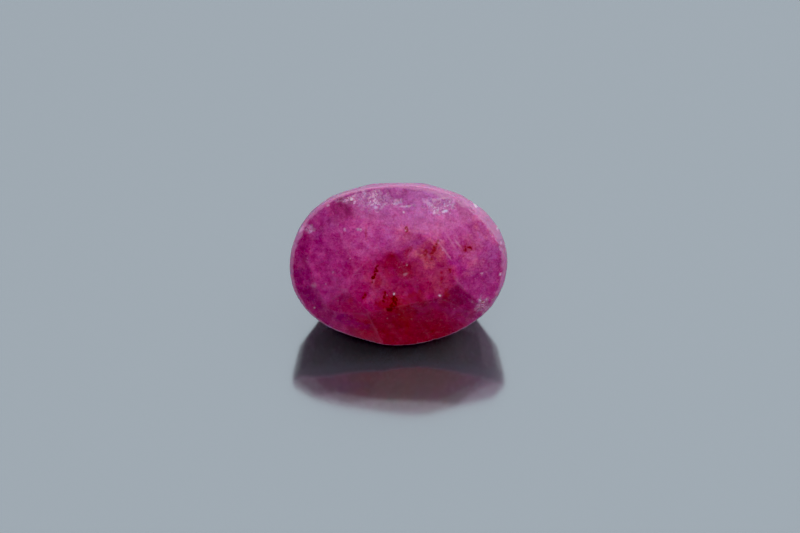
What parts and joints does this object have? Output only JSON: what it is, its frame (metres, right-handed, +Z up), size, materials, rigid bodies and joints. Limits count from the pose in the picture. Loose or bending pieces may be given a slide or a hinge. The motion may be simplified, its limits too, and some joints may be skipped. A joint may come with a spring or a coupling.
{
  "type": "faceted oval ruby",
  "caption": "Hand-cut oval ruby: low crown round a many-sided table, uneven frosted girdle and deep pavilion, lying tipped on its broadest pavilion facet.",
  "frame": {"origin": "on the surface that the stone lies on, under the middle of its bounding box", "axes": "+X along the stone's length, +Z up; the table faces -Y and leans back, its normal 31 degrees above the horizon"},
  "size_m": [0.008, 0.0046, 0.0059],
  "materials": {
    "ruby": "gloss"
  },
  "bodies": {
    "root": {"stone": "ruby"}
  },
  "joints": []
}
